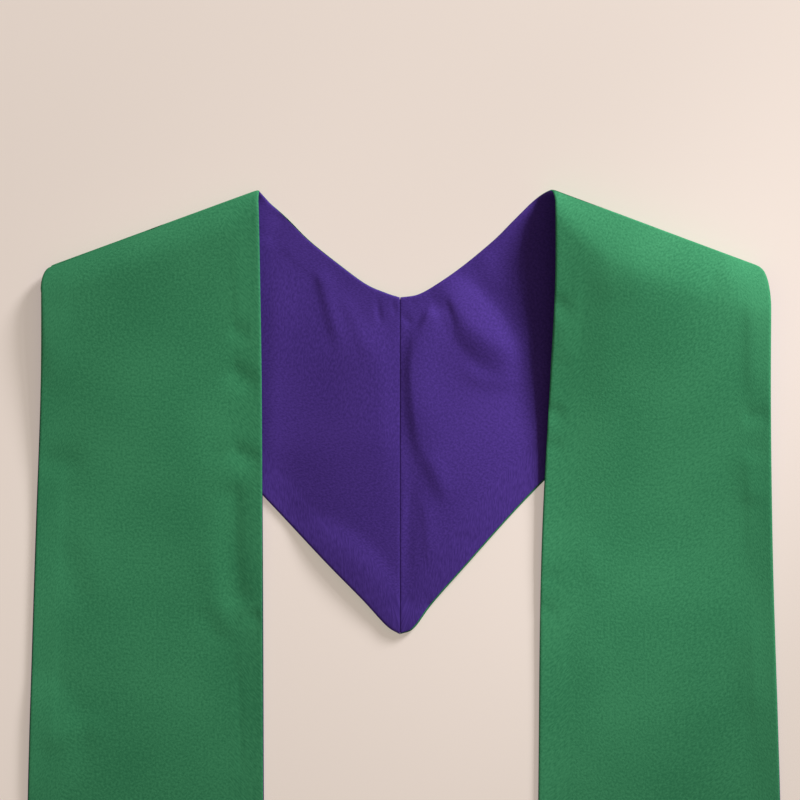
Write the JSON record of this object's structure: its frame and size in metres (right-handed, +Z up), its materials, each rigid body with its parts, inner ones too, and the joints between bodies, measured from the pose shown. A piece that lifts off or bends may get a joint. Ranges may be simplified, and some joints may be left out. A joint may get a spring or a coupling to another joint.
{
  "type": "clerical stole",
  "caption": "Reversible clerical stole with a V-shaped back yoke, laid flat with its front panels folded down over the shoulders and its lining showing at the back.",
  "frame": {"origin": "centre of the bounding box at the surface that the stole lies on", "axes": "+Y from the hems towards the neck, along the front panels; +X to the right as the stole lies with its neck at the top, seen from above; +Z up, out of the surface"},
  "size_m": [0.499, 1.27, 0.0235],
  "materials": {
    "green_cloth": "matt woven polyester, green",
    "purple_cloth": "matt woven polyester, purple"
  },
  "bodies": {
    "root": {"outer_left": "green_cloth", "outer_right": "green_cloth", "lining_left": "purple_cloth", "lining_right": "purple_cloth"}
  },
  "joints": []
}
